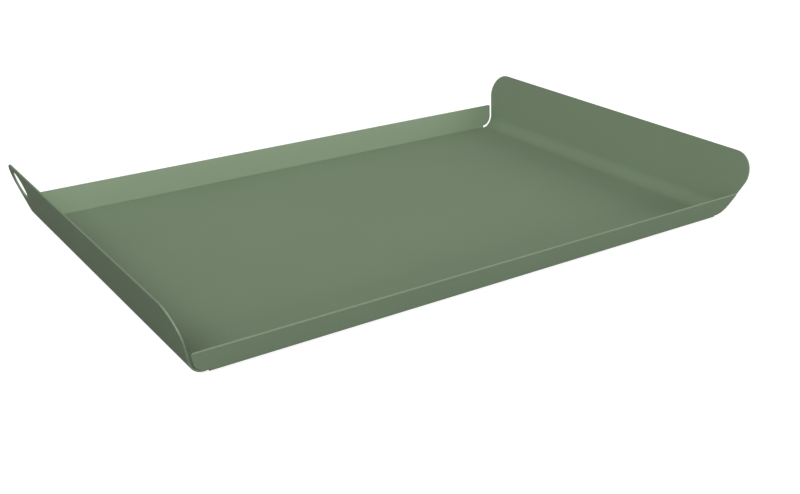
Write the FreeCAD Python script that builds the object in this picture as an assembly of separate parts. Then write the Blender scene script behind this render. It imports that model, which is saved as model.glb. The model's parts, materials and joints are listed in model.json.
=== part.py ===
"""Serving tray folded from one sheet of metal and powder-coated, on four anti-slip foot pads.

The frame: +X runs along the tray's length, +Y across it, +Z up.  The origin is on the
table, under the middle of the tray.  All sizes are millimetres and degrees.

The sheet's flat middle is the serving floor.  Its two long sides fold up into low walls
with a tight bend.  Its two ends sweep up in a wide bend into taller walls, which serve
as the handles.  All four walls lean outwards, and the corners stay open: a narrow slit
parts each long wall from the end wall beside it.
"""
import FreeCAD, Part
import math
import os

V = FreeCAD.Vector

# The whole tray
overall_length = 500.0
floor_width = 300.0
sheet = 1.25
foot_height = 1.5

# The low walls along the two long sides
side_height = 20.3
side_lean = 24.7
side_bend_radius = 0.6

# The tall walls at the two ends, which are the handles
end_height = 51.5
end_lean = 17.2
end_bend_radius = 13.4
end_corner_radius = 17.6
end_splay = 23.2
end_edge_inset = 0.5
end_foot_inset = 0.9

# The open corners
corner_slit = 1.05
side_corner_radius = 1.5
relief_radius = 0.6
relief_inset = 0.35

# The round hanging hole in one corner of the left handle
hanging_hole_radius = 11.5
hanging_hole_offset = 144.8
hanging_hole_depth = 17.0

# The self-adhesive pads under the floor
pad_radius = 6.0
pad_edge_round = 0.4
pad_inset = 32.0

# Room that the cutting shapes have past the sheet
spare = 5.0


def cosine(degrees):
    return math.cos(math.radians(degrees))


def sine(degrees):
    return math.sin(math.radians(degrees))


def tangent(degrees):
    return math.tan(math.radians(degrees))


def line(start, end):
    return Part.makeLine(start, end)


def arc(start, middle, end):
    return Part.Arc(start, middle, end).toShape()


def bend_point(bend_radius, radius, angle):
    """A point of a bend's cross-section: x outwards from the fold line, z above the underside."""
    centre_height = bend_radius + sheet
    return V(radius * sine(angle), 0, centre_height - radius * cosine(angle))


def wall_run(bend_radius, lean, height):
    """Length of a wall's flat part, from the end of its bend to its inner top edge."""
    bend_top = bend_point(bend_radius, bend_radius, 90 - lean)
    return (height - bend_top.z) / cosine(lean)


def wall_section(bend_radius, lean, height):
    """Cross-section of a folded wall in the XZ plane, starting at its fold line."""
    turn = 90 - lean
    outer_radius = bend_radius + sheet
    rise = V(sine(lean), 0, cosine(lean)) * wall_run(bend_radius, lean, height)
    outer_start = bend_point(bend_radius, outer_radius, 0)
    outer_end = bend_point(bend_radius, outer_radius, turn)
    inner_start = bend_point(bend_radius, bend_radius, 0)
    inner_end = bend_point(bend_radius, bend_radius, turn)
    edges = [
        arc(outer_start, bend_point(bend_radius, outer_radius, turn / 2), outer_end),
        line(outer_end, outer_end + rise),
        line(outer_end + rise, inner_end + rise),
        line(inner_end + rise, inner_end),
        arc(inner_end, bend_point(bend_radius, bend_radius, turn / 2), inner_start),
        line(inner_start, outer_start),
    ]
    return Part.Face(Part.Wire(edges))


# Half the floor's length, up to where the end bends start
end_run = wall_run(end_bend_radius, end_lean, end_height)
end_bend_end = bend_point(end_bend_radius, end_bend_radius + sheet, 90 - end_lean)
floor_half = overall_length / 2 - end_bend_end.x - end_run * sine(end_lean)
width_half = floor_width / 2

# Half a handle's width where its flat part starts, just inside the long walls' inner faces
end_bend_top = bend_point(end_bend_radius, end_bend_radius, 90 - end_lean).z
handle_foot_half = width_half + end_bend_top * tangent(side_lean) - end_edge_inset


def handle_corner():
    """Where a handle's rounded corner is centred: its y, and its distance up the flat part."""
    sharp_corner = handle_foot_half + end_run * tangent(end_splay)
    step_in = end_corner_radius * (tangent(end_splay) + 1 / cosine(end_splay))
    return sharp_corner - step_in, end_run - end_corner_radius


def on_handle(y, up):
    """A point on the +X handle's outer face, from its y and its distance up the flat part."""
    start = V(floor_half, 0, foot_height) + end_bend_end
    return start + V(sine(end_lean), 0, cosine(end_lean)) * up + V(0, y, 0)


def handle_outline():
    """The +X handle's cut edge, seen square to the handle and made solid through the sheet."""
    corner_y, corner_up = handle_corner()
    bend_drop = end_bend_radius + sheet
    radius = end_corner_radius
    halfway = 45 - end_splay / 2
    right = [
        on_handle(width_half - end_foot_inset, -bend_drop),
        on_handle(handle_foot_half, 0),
        on_handle(corner_y + radius * cosine(end_splay), corner_up - radius * sine(end_splay)),
        on_handle(corner_y + radius * cosine(halfway), corner_up + radius * sine(halfway)),
        on_handle(corner_y, corner_up + radius),
    ]
    left = [V(point.x, -point.y, point.z) for point in right]
    edges = [
        line(right[0], right[1]),
        line(right[1], right[2]),
        arc(right[2], right[3], right[4]),
        line(right[4], left[4]),
        arc(left[4], left[3], left[2]),
        line(left[2], left[1]),
        line(left[1], left[0]),
        line(left[0], right[0]),
    ]
    outward = V(cosine(end_lean), 0, -sine(end_lean))
    face = Part.Face(Part.Wire(edges))
    face.translate(outward * spare)
    return face.extrude(outward * -(spare + 2 * end_bend_radius))


def make_end_wall():
    """The +X handle: a wide bend, then a flat wall with splayed sides and rounded corners."""
    reach = width_half + end_height
    section = wall_section(end_bend_radius, end_lean, end_height + spare)
    section.translate(V(floor_half, -reach, foot_height))
    return section.extrude(V(0, 2 * reach, 0)).common(handle_outline())


def make_hole_cutter():
    """The hanging hole's cylinder through the -X handle, near its +Y corner."""
    outward = V(cosine(end_lean), 0, -sine(end_lean))
    centre = on_handle(hanging_hole_offset, end_run - hanging_hole_depth)
    start = centre - outward * spare
    cutter = Part.makeCylinder(hanging_hole_radius, 2 * spare, start, outward)
    return cutter.mirror(V(0, 0, 0), V(1, 0, 0))


def side_end_point(angle, up=0.0):
    """A point of a long wall's end edge, which follows the handle's inner face at a slit's width."""
    point = V(floor_half, 0, foot_height)
    point += bend_point(end_bend_radius, end_bend_radius - corner_slit, angle)
    return point + V(sine(end_lean), 0, cosine(end_lean)) * up


def side_outline():
    """The long walls' outline, seen from the side: its ends follow the handles' bends."""
    turn = 90 - end_lean
    radius = side_corner_radius
    top = foot_height + side_height
    bend_top = side_end_point(turn)
    up = (top - bend_top.z) / cosine(end_lean)
    setback = radius * tangent(45 + end_lean / 2)
    corner = side_end_point(turn, up)
    round_start = side_end_point(turn, up - setback)
    round_end = V(corner.x - setback, 0, top)
    centre = V(round_end.x, 0, top - radius)
    middle_angle = 45 - end_lean / 2
    round_middle = centre + V(cosine(middle_angle), 0, sine(middle_angle)) * radius
    right_foot = side_end_point(0)
    right_base = V(right_foot.x, 0, foot_height - spare)
    half = [
        line(right_base, right_foot),
        arc(right_foot, side_end_point(turn / 2), bend_top),
        line(bend_top, round_start),
        arc(round_start, round_middle, round_end),
    ]
    mirrored = [edge.mirror(V(0, 0, 0), V(1, 0, 0)) for edge in half]
    top_line = line(round_end, V(-round_end.x, 0, top))
    base_line = line(V(-right_base.x, 0, right_base.z), right_base)
    edges = Part.__sortEdges__(half + [top_line] + mirrored + [base_line])
    face = Part.Face(Part.Wire(edges))
    return face.extrude(V(0, floor_width, 0))


def make_side_wall():
    """The +Y long wall: a tight bend, then a low flat wall trimmed to the handles' bends."""
    section = wall_section(side_bend_radius, side_lean, side_height)
    section.rotate(V(0, 0, 0), V(0, 0, 1), 90)
    section.translate(V(-overall_length / 2, width_half, foot_height))
    return section.extrude(V(overall_length, 0, 0)).common(side_outline())


def make_floor():
    """The flat serving floor."""
    floor = Part.makeBox(2 * floor_half, floor_width, sheet)
    floor.translate(V(-floor_half, -width_half, foot_height))
    return floor


def make_relief(x, y):
    """The small round bend relief where two fold lines meet, as a cutting cylinder."""
    return Part.makeCylinder(relief_radius, foot_height + sheet + side_bend_radius, V(x, y, 0))


def make_folded_tray():
    """The one folded sheet: floor, two handles and two long walls."""
    handle = make_end_wall()
    side_wall = make_side_wall()
    walls = [
        handle,
        handle.mirror(V(0, 0, 0), V(1, 0, 0)),
        side_wall,
        side_wall.mirror(V(0, 0, 0), V(0, 1, 0)),
    ]
    tray = make_floor()
    for wall in walls:
        tray = tray.fuse(wall)
    relief_y = width_half - relief_inset
    for x in (-floor_half, floor_half):
        for y in (-relief_y, relief_y):
            tray = tray.cut(make_relief(x, y))
    return tray.cut(make_hole_cutter()).removeSplitter()


def make_foot_pad(x, y):
    """One round anti-slip pad under the floor, with softened edges."""
    pad = Part.makeCylinder(pad_radius, foot_height, V(x, y, 0))
    rims = [edge for edge in pad.Edges if edge.Curve.TypeId == "Part::GeomCircle"]
    lower_rim = [edge for edge in rims if edge.BoundBox.ZMax < foot_height / 2]
    return pad.makeFillet(pad_edge_round, lower_rim)


def export(node, shape):
    if shape.ShapeType == "Compound" and len(shape.Solids) == 1:
        shape = shape.Solids[0]
    shape.exportStep("parts/" + node + ".step")


os.makedirs("parts", exist_ok=True)
export("folded_tray", make_folded_tray())
pad_x = floor_half - pad_inset
pad_y = width_half - pad_inset
for side, y in (("front", -pad_y), ("back", pad_y)):
    for end, x in (("left", -pad_x), ("right", pad_x)):
        export("foot_pad_" + side + "_" + end, make_foot_pad(x, y))
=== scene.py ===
"""A serving tray folded from one sheet of powder-coated metal, on four anti-slip pads.

The tray is made here as it is made in the workshop: a flat blank is cut with its handles,
low walls, corner slits and hanging hole, and is then folded up along its four fold lines.
"""

import json
import math

import bmesh
import bpy
import numpy as np
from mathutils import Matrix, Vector
from mathutils.geometry import delaunay_2d_cdt


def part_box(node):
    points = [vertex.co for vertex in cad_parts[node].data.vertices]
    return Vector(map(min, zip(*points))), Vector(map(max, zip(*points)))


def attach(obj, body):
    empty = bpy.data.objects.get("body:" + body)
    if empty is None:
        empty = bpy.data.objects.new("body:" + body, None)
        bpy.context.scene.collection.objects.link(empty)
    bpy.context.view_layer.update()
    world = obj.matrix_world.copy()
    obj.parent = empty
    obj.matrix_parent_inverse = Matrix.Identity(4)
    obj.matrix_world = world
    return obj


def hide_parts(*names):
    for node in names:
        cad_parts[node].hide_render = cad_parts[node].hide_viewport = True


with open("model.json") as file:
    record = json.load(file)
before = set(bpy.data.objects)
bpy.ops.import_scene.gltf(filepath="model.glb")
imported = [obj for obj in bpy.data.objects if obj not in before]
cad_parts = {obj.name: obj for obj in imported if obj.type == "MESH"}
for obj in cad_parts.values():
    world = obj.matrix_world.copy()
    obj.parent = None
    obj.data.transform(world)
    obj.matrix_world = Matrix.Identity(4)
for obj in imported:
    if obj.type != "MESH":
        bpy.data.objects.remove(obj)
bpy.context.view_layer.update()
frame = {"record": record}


# The folded tray.  The real one is a single sheet of metal, 1.25 mm thick with its coating.
# Laser-cut flat, it is folded in a press brake: tight bends for the two low walls, wide ones
# for the two handles.  It is powder-coated last, so the coat rounds every cut edge.
tray_low, tray_high = (Vector(corner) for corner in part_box("folded_tray"))
mounts = {mount["name"]: mount for mount in frame["record"]["mounts"]}
sheet = mounts["serving_floor"]["pos_m"][2] - tray_low.z
half_thickness = sheet / 2
edge_round = 0.0003

floor_half_width = 0.150
side_height = 0.0203
side_lean = math.radians(24.7)
side_bend = 0.0006 + half_thickness
handle_height = tray_high.z - tray_low.z
handle_lean = math.radians(17.2)
handle_bend = 0.0134 + half_thickness
handle_splay = math.radians(23.2)
handle_corner = 0.0176
handle_inset = 0.0005
handle_foot_inset = 0.0009
slit = 0.00105
relief = 0.0006
relief_inset = 0.00035
side_corner = 0.0015


def wall_run(bend, lean, height):
    """Length of a wall's flat part, from its bend to its inner top edge."""
    inner = bend - half_thickness
    bend_top = inner + sheet - inner * math.sin(lean)
    return (height - bend_top) / math.cos(lean)


side_arc = side_bend * (math.pi / 2 - side_lean)
side_run = wall_run(side_bend, side_lean, side_height)
handle_arc = handle_bend * (math.pi / 2 - handle_lean)
handle_run = wall_run(handle_bend, handle_lean, handle_height)
handle_reach = (handle_bend + half_thickness) * math.cos(handle_lean) + handle_run * math.sin(handle_lean)
floor_half_length = tray_high.x - handle_reach
blank_half_length = floor_half_length + handle_arc + handle_run
blank_half_width = floor_half_width + side_arc + side_run


def arc_points(centre, radius, start, end, count):
    """Points along an arc in the blank's plane, from one angle to another."""
    angles = np.linspace(start, end, count)
    return [Vector((centre[0] + radius * math.cos(a), centre[1] + radius * math.sin(a))) for a in angles]


def side_wall_end(angle, up=0.0):
    """Point of a low wall's end edge, which follows the handle's bend with a slit between.

    Heights are taken at the middle of the sheet.
    """
    inner = handle_bend - half_thickness
    x = floor_half_length + (inner - slit) * math.sin(angle) + up * math.sin(handle_lean)
    z = sheet + inner - (inner - slit) * math.cos(angle) + up * math.cos(handle_lean)
    bend_end = side_bend + half_thickness - side_bend * math.sin(side_lean)
    if z < bend_end:
        along = side_bend * math.acos((side_bend + half_thickness - z) / side_bend)
    else:
        along = side_arc + (z - bend_end) / math.cos(side_lean)
    return Vector((x, floor_half_width + along))


def round_corner(before, corner, after, radius, count):
    """The arc that rounds a corner between two straight edges of the blank."""
    toward = (before - corner).normalized()
    onward = (after - corner).normalized()
    half_angle = toward.angle(onward) / 2
    centre = corner + (toward + onward).normalized() * radius / math.sin(half_angle)
    start = corner + toward * radius / math.tan(half_angle) - centre
    end = corner + onward * radius / math.tan(half_angle) - centre
    steps = np.linspace(0, 1, count)
    arc = [start.slerp(end, step) for step in steps]
    return [centre + spoke.normalized() * radius for spoke in arc]


def quarter_outline():
    """The blank's outline in its +X +Y quarter, from the handle's top to the low wall's top."""
    handle_foot = Vector((floor_half_length, floor_half_width - handle_foot_inset))
    inner = handle_bend - half_thickness
    bend_top = inner + sheet - inner * math.sin(handle_lean)
    flat_start = Vector((floor_half_length + handle_arc,
                         floor_half_width + bend_top * math.tan(side_lean) - handle_inset))
    sharp = Vector((blank_half_length, flat_start.y + handle_run * math.tan(handle_splay)))
    points = round_corner(Vector((blank_half_length, 0)), sharp, flat_start, handle_corner, 33)
    points.append(flat_start)
    edge = (flat_start - handle_foot).normalized()
    relief_centre = Vector((floor_half_length, floor_half_width - relief_inset))
    away = handle_foot - relief_centre
    hit = -away.dot(edge) + math.sqrt(away.dot(edge) ** 2 - away.length_squared + relief ** 2)
    cut = away + edge * hit
    points += arc_points(relief_centre, relief, math.atan2(cut.y, cut.x), -1.5 * math.pi, 19)
    turn = math.pi / 2 - handle_lean
    points += [side_wall_end(angle) for angle in np.linspace(0, turn, 25)]
    bend_top_z = sheet + inner - (inner - slit) * math.cos(turn)
    up = (side_height - bend_top_z) / math.cos(handle_lean)
    corner = side_wall_end(turn, up)
    points += round_corner(points[-1], corner, Vector((0, corner.y)), side_corner, 9)
    return points


def whole_outline():
    """The blank's outline, mirrored from one quarter, anticlockwise."""
    quarter = quarter_outline()
    left = [Vector((-p.x, p.y)) for p in reversed(quarter)]
    upper = quarter + left
    lower = [Vector((p.x, -p.y)) for p in reversed(upper)]
    return upper + lower


def inset(loop, distance):
    """A closed loop moved into the sheet by a distance, with mitred corners."""
    points = np.array([tuple(p) for p in loop])
    before = points - np.roll(points, 1, axis=0)
    after = np.roll(points, -1, axis=0) - points
    normals = []
    for run in (before, after):
        unit = run / np.linalg.norm(run, axis=1)[:, None]
        normals.append(np.stack([-unit[:, 1], unit[:, 0]], axis=1))
    middle = normals[0] + normals[1]
    mitre = middle * 2 / (middle ** 2).sum(axis=1)[:, None]
    return [Vector(p) for p in points + mitre * distance]


def edge_distance(points, loops):
    """How far each point is from the nearest cut edge."""
    nearest = np.full(len(points), np.inf)
    for loop in loops:
        start = np.array([tuple(p) for p in loop])
        run = np.roll(start, -1, axis=0) - start
        for a, d in zip(start, run):
            along = np.clip((points - a) @ d / (d @ d), 0, 1)
            gap = np.linalg.norm(points - a - along[:, None] * d, axis=1)
            nearest = np.minimum(nearest, gap)
    return nearest


def inside(points, loops):
    """Which points are on the sheet: inside the outline and outside the hole."""
    crossings = np.zeros(len(points), int)
    for loop in loops:
        start = np.array([tuple(p) for p in loop])
        end = np.roll(start, -1, axis=0)
        for a, b in zip(start, end):
            spans = (a[1] > points[:, 1]) != (b[1] > points[:, 1])
            rise = np.where(spans, b[1] - a[1], 1)
            x = a[0] + (points[:, 1] - a[1]) * (b[0] - a[0]) / rise
            crossings += spans & (points[:, 0] < x)
    return crossings % 2 == 1


def guide_lines(fold, arc, run, flats, bends, rows):
    """Places of the blank's guide lines on one axis: even on the flats, close on the bend."""
    beside_bend = 0.0006
    below_top = 0.0012
    floor = np.linspace(0, fold - beside_bend, flats)
    bend = np.linspace(fold, fold + arc, bends)
    wall = np.linspace(fold + arc + beside_bend, fold + arc + run - below_top, rows)
    half = np.concatenate([floor[1:], bend, wall])
    return np.concatenate([-half[::-1], [0], half])


def cut_blank():
    """The flat blank as a closed mesh, its middle surface at height 0, its cut edges rounded."""
    hanging_hole = mounts["hanging_hole"]
    bend_top = tray_low.z + half_thickness + handle_bend * (1 - math.sin(handle_lean))
    up = (hanging_hole["pos_m"][2] - bend_top) / math.cos(handle_lean)
    hole_centre = (-(floor_half_length + handle_arc + up), hanging_hole["pos_m"][1])
    outline = whole_outline()
    hole = arc_points(hole_centre, hanging_hole["dims"]["r_mm"] / 1000, 0, -2 * math.pi, 73)[:-1]
    loops = [outline, hole]
    coords, edges = [], []
    tilts = np.radians([0, 18, 36, 54, 72, 90])
    depths = list(edge_round * (1 - np.cos(tilts))) + [edge_round * 2]
    for loop in loops:
        for depth in depths:
            first = len(coords)
            ring = inset(loop, depth) if depth else loop
            coords += ring
            edges += [(first + i, first + (i + 1) % len(ring)) for i in range(len(ring))]
    across = guide_lines(floor_half_length, handle_arc, handle_run, 24, 19, 7)
    along = guide_lines(floor_half_width, side_arc, side_run, 17, 9, 4)
    past_blank_x, past_blank_y = 0.3, 0.2
    for x in across:
        coords += [Vector((x, -past_blank_y)), Vector((x, past_blank_y))]
        edges.append((len(coords) - 2, len(coords) - 1))
    for y in along:
        coords += [Vector((-past_blank_x, y)), Vector((past_blank_x, y))]
        edges.append((len(coords) - 2, len(coords) - 1))
    in_mm = [p * 1000 for p in coords]
    flat, _, cells, *_ = delaunay_2d_cdt(in_mm, edges, [], 3, 1e-3, False)
    points = np.array([tuple(p) for p in flat]) / 1000
    centres = np.array([points[cell].mean(axis=0) for cell in cells])
    kept = [cell for cell, keep in zip(cells, inside(centres, loops)) if keep]
    used = sorted({i for cell in kept for i in cell})
    place = {old: new for new, old in enumerate(used)}
    kept = [[place[i] for i in cell] for cell in kept]
    points = points[used]
    distance = edge_distance(points, loops)
    rim = np.clip(edge_round - distance, 0, edge_round)
    height = half_thickness - edge_round + np.sqrt(edge_round ** 2 - rim ** 2)
    count = len(points)
    upper = np.column_stack([points, height])
    lower = np.column_stack([points, -height])
    borders = {}
    for cell in kept:
        for a, b in zip(cell, cell[1:] + cell[:1]):
            borders[(a, b)] = True
    open_edges = [(a, b) for a, b in borders if (b, a) not in borders]
    faces = kept + [[i + count for i in reversed(cell)] for cell in kept]
    faces += [[b, a, a + count, b + count] for a, b in open_edges]
    mesh = bpy.data.meshes.new("tray_blank")
    mesh.from_pydata([tuple(p) for p in np.vstack([upper, lower])], [], faces)
    # A falloff from each cut edge. It makes the coat a little smoother there, the coat's bead, and it also
    # paints the coat lighter there as a painted highlight along the edges.
    bead_and_highlight_width = 0.0012
    bead_and_highlight = mesh.attributes.new("bead_and_painted_highlight", "FLOAT", "POINT")
    bead_and_highlight.data.foreach_set("value", np.tile(np.exp(-distance / bead_and_highlight_width), 2))
    shape = bmesh.new()
    shape.from_mesh(mesh)
    bmesh.ops.join_triangles(shape, faces=shape.faces, angle_face_threshold=math.radians(1),
                             angle_shape_threshold=math.radians(30))
    bmesh.ops.recalc_face_normals(shape, faces=shape.faces)
    for face in shape.faces:
        face.smooth = True
    shape.to_mesh(mesh)
    shape.free()
    return mesh


def feed(tree, value, socket):
    """Set a node's input, or link it where the value is another node's output."""
    if isinstance(value, bpy.types.NodeSocket):
        tree.links.new(value, socket)
    else:
        socket.default_value = value


def maths(tree, operation, *values):
    """A Math node's output."""
    node = tree.nodes.new("ShaderNodeMath")
    node.operation = operation
    for value, socket in zip(values, node.inputs):
        feed(tree, value, socket)
    return node.outputs[0]


def node_group(name, kind, inputs, outputs):
    """An empty node group with named sockets, and its two end nodes."""
    group = bpy.data.node_groups.new(name, kind)
    for socket, socket_type in inputs:
        group.interface.new_socket(socket, in_out="INPUT", socket_type=socket_type)
    for socket, socket_type in outputs:
        group.interface.new_socket(socket, in_out="OUTPUT", socket_type=socket_type)
    start = group.nodes.new("NodeGroupInput").outputs
    end = group.nodes.new("NodeGroupOutput").inputs
    return group, start, end


def make_fold_group():
    """Folds a sheet up beyond two fold lines that lie on either side of its middle."""
    sockets = [
        ("Sheet", "NodeSocketGeometry"),
        ("Walls", "NodeSocketBool"),
        ("Across", "NodeSocketVector"),
        ("Fold Line", "NodeSocketFloat"),
        ("Bend Radius", "NodeSocketFloat"),
        ("Lean", "NodeSocketFloat"),
    ]
    group, start, end = node_group("Fold Up", "GeometryNodeTree", sockets, sockets[:1])
    position = group.nodes.new("GeometryNodeInputPosition").outputs[0]
    parts = group.nodes.new("ShaderNodeSeparateXYZ")
    group.links.new(position, parts.inputs[0])
    height = parts.outputs["Z"]
    dot = group.nodes.new("ShaderNodeVectorMath")
    dot.operation = "DOT_PRODUCT"
    group.links.new(position, dot.inputs[0])
    group.links.new(start["Across"], dot.inputs[1])
    place = dot.outputs["Value"]
    radius = start["Bend Radius"]
    beyond = maths(group, "SUBTRACT", maths(group, "ABSOLUTE", place), start["Fold Line"])
    turn = maths(group, "SUBTRACT", math.pi / 2, start["Lean"])
    bend_length = maths(group, "MULTIPLY", radius, turn)
    angle_so_far = maths(group, "MINIMUM", turn, maths(group, "DIVIDE", beyond, radius))
    angle = maths(group, "MAXIMUM", 0.0, angle_so_far)
    flat = maths(group, "MAXIMUM", 0.0, maths(group, "SUBTRACT", beyond, bend_length))
    spoke = maths(group, "SUBTRACT", radius, height)
    sine = maths(group, "SINE", angle)
    cosine = maths(group, "COSINE", angle)
    bend_out = maths(group, "MULTIPLY_ADD", spoke, sine, start["Fold Line"])
    out = maths(group, "MULTIPLY_ADD", flat, cosine, bend_out)
    bend_up = maths(group, "SUBTRACT", radius, maths(group, "MULTIPLY", spoke, cosine))
    rise = maths(group, "MULTIPLY_ADD", flat, sine, bend_up)
    sideways = maths(group, "SUBTRACT", maths(group, "MULTIPLY", maths(group, "SIGN", place), out), place)
    shift = group.nodes.new("ShaderNodeVectorMath")
    shift.operation = "SCALE"
    group.links.new(start["Across"], shift.inputs[0])
    group.links.new(sideways, shift.inputs["Scale"])
    lift = group.nodes.new("ShaderNodeCombineXYZ")
    group.links.new(maths(group, "SUBTRACT", rise, height), lift.inputs["Z"])
    offset = group.nodes.new("ShaderNodeVectorMath")
    offset.operation = "ADD"
    group.links.new(shift.outputs[0], offset.inputs[0])
    group.links.new(lift.outputs[0], offset.inputs[1])
    folded = group.nodes.new("GeometryNodeSetPosition")
    group.links.new(start["Sheet"], folded.inputs["Geometry"])
    group.links.new(maths(group, "MULTIPLY", start["Walls"], maths(group, "GREATER_THAN", beyond, 0.0)),
                    folded.inputs["Selection"])
    group.links.new(offset.outputs[0], folded.inputs["Offset"])
    group.links.new(folded.outputs[0], end["Sheet"])
    return group


def make_press_brake():
    """Folds the blank's two handles and two low walls, and stands the tray at its height."""
    sockets = [
        ("Blank", "NodeSocketGeometry"),
        ("Floor Length", "NodeSocketFloat"),
        ("Floor Width", "NodeSocketFloat"),
        ("Slit Slope", "NodeSocketFloat"),
        ("Handle Bend Radius", "NodeSocketFloat"),
        ("Handle Lean", "NodeSocketFloat"),
        ("Side Bend Radius", "NodeSocketFloat"),
        ("Side Lean", "NodeSocketFloat"),
        ("Height", "NodeSocketFloat"),
        ("Coating", "NodeSocketMaterial"),
    ]
    outputs = [("Tray", "NodeSocketGeometry")]
    tree, start, end = node_group("Press Brake", "GeometryNodeTree", sockets, outputs)
    half_length = maths(tree, "MULTIPLY", start["Floor Length"], 0.5)
    half_width = maths(tree, "MULTIPLY", start["Floor Width"], 0.5)
    parts = tree.nodes.new("ShaderNodeSeparateXYZ")
    tree.links.new(tree.nodes.new("GeometryNodeInputPosition").outputs[0], parts.inputs[0])
    past_end = maths(tree, "SUBTRACT", maths(tree, "ABSOLUTE", parts.outputs["X"]), half_length)
    past_side = maths(tree, "SUBTRACT", maths(tree, "ABSOLUTE", parts.outputs["Y"]), half_width)
    capture = tree.nodes.new("GeometryNodeCaptureAttribute")
    capture.capture_items.new("BOOLEAN", "Handle")
    tree.links.new(start["Blank"], capture.inputs["Geometry"])
    slit_line = maths(tree, "MULTIPLY", past_end, start["Slit Slope"])
    tree.links.new(maths(tree, "GREATER_THAN", slit_line, past_side), capture.inputs["Handle"])
    handle = capture.outputs["Handle"]
    fold_up = make_fold_group()
    folds = (
        ((1, 0, 0), handle, half_length, start["Handle Bend Radius"], start["Handle Lean"]),
        ((0, 1, 0), maths(tree, "SUBTRACT", 1.0, handle), half_width,
         start["Side Bend Radius"], start["Side Lean"]),
    )
    sheet_now = capture.outputs["Geometry"]
    for across, walls, fold_line, radius, lean in folds:
        fold = tree.nodes.new("GeometryNodeGroup")
        fold.node_tree = fold_up
        tree.links.new(sheet_now, fold.inputs["Sheet"])
        tree.links.new(walls, fold.inputs["Walls"])
        fold.inputs["Across"].default_value = across
        tree.links.new(fold_line, fold.inputs["Fold Line"])
        tree.links.new(radius, fold.inputs["Bend Radius"])
        tree.links.new(lean, fold.inputs["Lean"])
        sheet_now = fold.outputs["Sheet"]
    lift = tree.nodes.new("ShaderNodeCombineXYZ")
    tree.links.new(start["Height"], lift.inputs["Z"])
    stand = tree.nodes.new("GeometryNodeSetPosition")
    tree.links.new(sheet_now, stand.inputs["Geometry"])
    tree.links.new(lift.outputs[0], stand.inputs["Offset"])
    realize = tree.nodes.new("GeometryNodeRealizeInstances")
    tree.links.new(stand.outputs[0], realize.inputs[0])
    coat = tree.nodes.new("GeometryNodeSetMaterial")
    tree.links.new(realize.outputs[0], coat.inputs["Geometry"])
    tree.links.new(start["Coating"], coat.inputs["Material"])
    tree.links.new(coat.outputs[0], end["Tray"])
    return tree


def run_tree(piece, tree, values):
    """Run a Geometry Nodes tree on a piece, and keep the result as its mesh with no empty slots."""
    modifier = piece.modifiers.new(tree.name, "NODES")
    modifier.node_group = tree
    sockets = {item.name: item.identifier for item in tree.interface.items_tree if item.in_out == "INPUT"}
    for name, value in values.items():
        modifier[sockets[name]] = value
    depsgraph = bpy.context.evaluated_depsgraph_get()
    mesh = bpy.data.meshes.new_from_object(piece.evaluated_get(depsgraph), depsgraph=depsgraph)
    piece.modifiers.clear()
    piece.data = mesh
    while None in mesh.materials[:]:
        mesh.materials.pop(index=mesh.materials[:].index(None))


def make_grain_group():
    """The fine grain and uneven tone of a sprayed or moulded surface."""
    inputs = [
        ("Vector", "NodeSocketVector"),
        ("Grain Size", "NodeSocketFloat"),
        ("Ripple Size", "NodeSocketFloat"),
        ("Ripple Share", "NodeSocketFloat"),
        ("Cloud Size", "NodeSocketFloat"),
    ]
    outputs = [("Height", "NodeSocketFloat"), ("Cloud", "NodeSocketFloat"), ("Specks", "NodeSocketFloat")]
    group, start, end = node_group("Surface Grain", "ShaderNodeTree", inputs, outputs)

    def noise(size, detail):
        node = group.nodes.new("ShaderNodeTexNoise")
        node.inputs["Detail"].default_value = detail
        node.inputs["Roughness"].default_value = 0.55
        group.links.new(start["Vector"], node.inputs["Vector"])
        group.links.new(maths(group, "DIVIDE", 1.0, size), node.inputs["Scale"])
        return node.outputs[0]

    grain = noise(start["Grain Size"], 2.0)
    ripple = noise(start["Ripple Size"], 1.0)
    fine = maths(group, "MULTIPLY", grain, maths(group, "SUBTRACT", 1.0, start["Ripple Share"]))
    group.links.new(maths(group, "MULTIPLY_ADD", ripple, start["Ripple Share"], fine), end["Height"])
    group.links.new(noise(start["Cloud Size"], 3.0), end["Cloud"])
    speck_threshold, speck_sharpness = 0.70, 12.0
    dots = noise(maths(group, "MULTIPLY", start["Grain Size"], 1.7), 0.0)
    sparse = maths(group, "SUBTRACT", dots, speck_threshold)
    specks = maths(group, "MAXIMUM", 0.0, maths(group, "MULTIPLY", sparse, speck_sharpness))
    group.links.new(maths(group, "MINIMUM", 1.0, specks), end["Specks"])
    return group


def mix_colours(tree, share, first, second):
    """A Mix node's colour output."""
    node = tree.nodes.new("ShaderNodeMix")
    node.data_type = "RGBA"
    feed(tree, share, node.inputs["Factor"])
    feed(tree, first, node.inputs[6])
    feed(tree, second, node.inputs[7])
    return node.outputs[2]


grain_group = make_grain_group()


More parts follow.
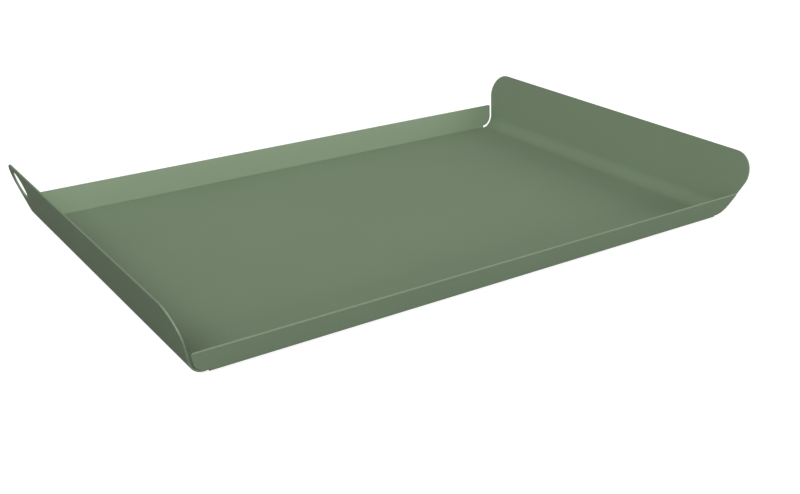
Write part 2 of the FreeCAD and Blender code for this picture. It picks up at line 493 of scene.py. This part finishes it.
def make_powder_coat():
    """Matte sage-green powder coat: fine grain, a faint orange-peel ripple, smoother at cut edges, and a
    painted highlight: lighter colour along the cut edges.
    """
    material = bpy.data.materials.new("sage_powder_coat")
    material.use_nodes = True
    tree = material.node_tree
    shader = tree.nodes["Principled BSDF"]
    coordinates = tree.nodes.new("ShaderNodeTexCoord").outputs["Object"]
    grain = tree.nodes.new("ShaderNodeGroup")
    grain.node_tree = grain_group
    tree.links.new(coordinates, grain.inputs["Vector"])
    grain.inputs["Grain Size"].default_value = 0.00045
    grain.inputs["Ripple Size"].default_value = 0.0028
    grain.inputs["Ripple Share"].default_value = 0.45
    grain.inputs["Cloud Size"].default_value = 0.09
    # The edge falloff drives both a smoother coat at the cut edges and a painted highlight there.
    bead_and_highlight = tree.nodes.new("ShaderNodeAttribute")
    bead_and_highlight.attribute_name = "bead_and_painted_highlight"
    sage = (0.166, 0.228, 0.143, 1.0)
    pale_sage = (0.183, 0.250, 0.158, 1.0)
    dark_sage = (0.150, 0.207, 0.129, 1.0)
    clouded = mix_colours(tree, grain.outputs["Cloud"], sage, pale_sage)
    speckled = mix_colours(tree, maths(tree, "MULTIPLY", grain.outputs["Specks"], 0.5), clouded, dark_sage)
    # Painted highlight: the colour is mixed a little towards pale sage along the cut edges.
    edge_highlighted = mix_colours(tree, maths(tree, "MULTIPLY", bead_and_highlight.outputs["Fac"], 0.35), speckled, pale_sage)
    tree.links.new(edge_highlighted, shader.inputs["Base Color"])
    shader.inputs["Specular IOR Level"].default_value = 0.35
    cloud_roughness = maths(tree, "MULTIPLY_ADD", grain.outputs["Cloud"], 0.08, 0.60)
    tree.links.new(maths(tree, "MULTIPLY_ADD", bead_and_highlight.outputs["Fac"], -0.06, cloud_roughness),
                   shader.inputs["Roughness"])
    bump = tree.nodes.new("ShaderNodeBump")
    bump.inputs["Strength"].default_value = 0.6
    bump.inputs["Distance"].default_value = 0.00005
    tree.links.new(grain.outputs["Height"], bump.inputs["Height"])
    tree.links.new(bump.outputs[0], shader.inputs["Normal"])
    return material


tray = bpy.data.objects.new("tray_sheet", cut_blank())
bpy.context.scene.collection.objects.link(tray)
run_tree(tray, make_press_brake(), {
    "Floor Length": 2 * floor_half_length,
    "Floor Width": 2 * floor_half_width,
    "Slit Slope": 0.5,
    "Handle Bend Radius": handle_bend,
    "Handle Lean": handle_lean,
    "Side Bend Radius": side_bend,
    "Side Lean": side_lean,
    "Height": tray_low.z + half_thickness,
    "Coating": make_powder_coat(),
})
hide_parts("folded_tray")
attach(tray, "root")


# The anti-slip pads.  Four moulded rubber discs, each with a film of glue on its upper face,
# stuck under the floor near its corners.  Two shallow rings in the sole keep it from sliding.
pad_low, pad_high = (Vector(corner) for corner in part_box("foot_pad_front_left"))
pad_radius = (pad_high.x - pad_low.x) / 2
pad_height = pad_high.z
pad_spacing = [abs(low + high) for low, high in zip(pad_low, pad_high)]


def pad_profile():
    """The pad's half section, from the middle of its sole to the middle of its glued face."""
    side_round = 0.0003
    groove = 0.00014
    sole = [(0.0, 0.0), (0.0016, 0.0)]
    lip, bed = 0.00030, 0.00018
    for ring in (0.0023, 0.0040):
        sole += [(ring - lip, 0.0), (ring - bed, groove), (ring + bed, groove), (ring + lip, 0.0)]
    turn = np.linspace(-math.pi / 2, 0, 7)
    rim = [(pad_radius - side_round * (1 - math.cos(a)), side_round * (1 + math.sin(a))) for a in turn]
    film = pad_height - 0.00012
    top = [(pad_radius - 0.00012, film - 0.0002), (pad_radius - 0.00030, film), (pad_radius - 0.00045, film),
           (pad_radius - 0.00045, pad_height), (pad_radius * 0.6, pad_height), (0.0, pad_height)]
    return sole + rim + top


def turn_pad(sides):
    """One pad at the origin, its profile turned about its axis into a closed mesh."""
    profile = pad_profile()
    shape = bmesh.new()
    sole_centre = shape.verts.new((0, 0, profile[0][1]))
    face_centre = shape.verts.new((0, 0, profile[-1][1]))
    rings = []
    for radius, z in profile[1:-1]:
        angles = [2 * math.pi * i / sides for i in range(sides)]
        rings.append([shape.verts.new((radius * math.cos(a), radius * math.sin(a), z)) for a in angles])
    for i in range(sides):
        j = (i + 1) % sides
        shape.faces.new((sole_centre, rings[0][j], rings[0][i]))
        shape.faces.new((face_centre, rings[-1][i], rings[-1][j]))
        for lower, upper in zip(rings, rings[1:]):
            shape.faces.new((lower[i], lower[j], upper[j], upper[i]))
    bmesh.ops.recalc_face_normals(shape, faces=shape.faces)
    mesh = bpy.data.meshes.new("pad")
    shape.to_mesh(mesh)
    shape.free()
    mesh.shade_smooth()
    mesh.set_sharp_from_angle(angle=math.radians(30))
    return mesh


def make_pad_setter():
    """Sets one pad on each corner of a rectangle under the floor."""
    sockets = [
        ("Pad", "NodeSocketGeometry"),
        ("Spacing X", "NodeSocketFloat"),
        ("Spacing Y", "NodeSocketFloat"),
        ("Rubber", "NodeSocketMaterial"),
    ]
    tree, start, end = node_group("Set Pads", "GeometryNodeTree", sockets, [("Pads", "NodeSocketGeometry")])
    corners = tree.nodes.new("GeometryNodeMeshGrid")
    corners.inputs["Vertices X"].default_value = 2
    corners.inputs["Vertices Y"].default_value = 2
    tree.links.new(start["Spacing X"], corners.inputs["Size X"])
    tree.links.new(start["Spacing Y"], corners.inputs["Size Y"])
    place = tree.nodes.new("GeometryNodeInstanceOnPoints")
    tree.links.new(corners.outputs["Mesh"], place.inputs["Points"])
    tree.links.new(start["Pad"], place.inputs["Instance"])
    realize = tree.nodes.new("GeometryNodeRealizeInstances")
    tree.links.new(place.outputs[0], realize.inputs[0])
    finish = tree.nodes.new("GeometryNodeSetMaterial")
    tree.links.new(realize.outputs[0], finish.inputs["Geometry"])
    tree.links.new(start["Rubber"], finish.inputs["Material"])
    tree.links.new(finish.outputs[0], end["Pads"])
    return tree


def make_pad_rubber():
    """Dark grey moulded rubber with a fine matte grain and a little dust."""
    material = bpy.data.materials.new("moulded_rubber")
    material.use_nodes = True
    tree = material.node_tree
    shader = tree.nodes["Principled BSDF"]
    coordinates = tree.nodes.new("ShaderNodeTexCoord").outputs["Object"]
    grain = tree.nodes.new("ShaderNodeGroup")
    grain.node_tree = grain_group
    tree.links.new(coordinates, grain.inputs["Vector"])
    grain.inputs["Grain Size"].default_value = 0.00018
    grain.inputs["Ripple Size"].default_value = 0.0011
    grain.inputs["Ripple Share"].default_value = 0.3
    grain.inputs["Cloud Size"].default_value = 0.004
    rubber = (0.030, 0.031, 0.030, 1.0)
    dusty = (0.062, 0.062, 0.058, 1.0)
    tree.links.new(mix_colours(tree, grain.outputs["Cloud"], rubber, dusty), shader.inputs["Base Color"])
    roughness = maths(tree, "MULTIPLY_ADD", grain.outputs["Cloud"], 0.15, 0.68)
    tree.links.new(roughness, shader.inputs["Roughness"])
    bump = tree.nodes.new("ShaderNodeBump")
    bump.inputs["Strength"].default_value = 0.7
    bump.inputs["Distance"].default_value = 0.00003
    tree.links.new(grain.outputs["Height"], bump.inputs["Height"])
    tree.links.new(bump.outputs[0], shader.inputs["Normal"])
    return material


pads = bpy.data.objects.new("anti_slip_pads", turn_pad(64))
bpy.context.scene.collection.objects.link(pads)
run_tree(pads, make_pad_setter(), {
    "Spacing X": pad_spacing[0],
    "Spacing Y": pad_spacing[1],
    "Rubber": make_pad_rubber(),
})
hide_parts("foot_pad_front_left", "foot_pad_front_right", "foot_pad_back_left", "foot_pad_back_right")
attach(pads, "root")


# The studio: a pale floor in a white surround.  A high softbox stands to the left of the tray,
# a low one faces its front wall, and two weaker ones fill in from the right and the back left.
def make_studio_floor():
    mesh = bpy.data.meshes.new("studio_floor")
    reach = 6.0
    corners = [(-reach, -reach, 0), (reach, -reach, 0), (reach, reach, 0), (-reach, reach, 0)]
    mesh.from_pydata(corners, [], [(0, 1, 2, 3)])
    material = bpy.data.materials.new("studio_paper")
    material.use_nodes = True
    shader = material.node_tree.nodes["Principled BSDF"]
    shader.inputs["Base Color"].default_value = (0.28, 0.28, 0.28, 1.0)
    shader.inputs["Roughness"].default_value = 0.9
    shader.inputs["Specular IOR Level"].default_value = 0.0
    shader.inputs["Emission Color"].default_value = (1.0, 1.0, 1.0, 1.0)
    seen = material.node_tree.nodes.new("ShaderNodeLightPath").outputs["Is Camera Ray"]
    glow = maths(material.node_tree, "MULTIPLY", seen, 0.9)
    material.node_tree.links.new(glow, shader.inputs["Emission Strength"])
    mesh.materials.append(material)
    floor = bpy.data.objects.new("studio_floor", mesh)
    bpy.context.scene.collection.objects.link(floor)


def make_surround(strength):
    """A white world: pure white where the camera sees it, and a soft fill for the object."""
    world = bpy.data.worlds.new("studio_surround")
    world.use_nodes = True
    tree = world.node_tree
    background = tree.nodes["Background"]
    seen = tree.nodes.new("ShaderNodeLightPath").outputs["Is Camera Ray"]
    tree.links.new(maths(tree, "MULTIPLY_ADD", seen, 1.0 - strength, strength), background.inputs["Strength"])
    background.inputs["Color"].default_value = (1.0, 1.0, 1.0, 1.0)
    bpy.context.scene.world = world


def add_softbox(name, azimuth, elevation, power):
    """A square softbox five metres away that faces the tray."""
    light = bpy.data.lights.new(name, "AREA")
    light.shape = "SQUARE"
    light.size = 2.2
    distance = 5.0
    light.energy = power
    turn, rise = math.radians(azimuth), math.radians(elevation)
    toward = Vector((math.cos(turn) * math.cos(rise), math.sin(turn) * math.cos(rise), math.sin(rise)))
    softbox = bpy.data.objects.new(name, light)
    softbox.location = toward * distance
    softbox.rotation_euler = (-toward).to_track_quat("-Z", "Y").to_euler()
    bpy.context.scene.collection.objects.link(softbox)


make_studio_floor()
make_surround(0.3)
add_softbox("key_softbox", 210, 50, 115)
add_softbox("front_softbox", 270, 8, 158)
add_softbox("right_softbox", 330, 28, 75)
add_softbox("left_softbox", 150, 28, 32)


# The camera stands in front of the tray's left end and looks down at it along its diagonal.
lens = bpy.data.cameras.new("camera")
lens.sensor_width = 36.0
lens.lens = 48.327
camera = bpy.data.objects.new("camera", lens)
camera.location = (-0.4453, -0.6801, 0.3229)
camera.rotation_euler = (math.radians(90 - 23.144), 0, math.radians(-34.233))
bpy.context.scene.collection.objects.link(camera)
bpy.context.scene.camera = camera
bpy.context.scene.view_settings.view_transform = "Standard"
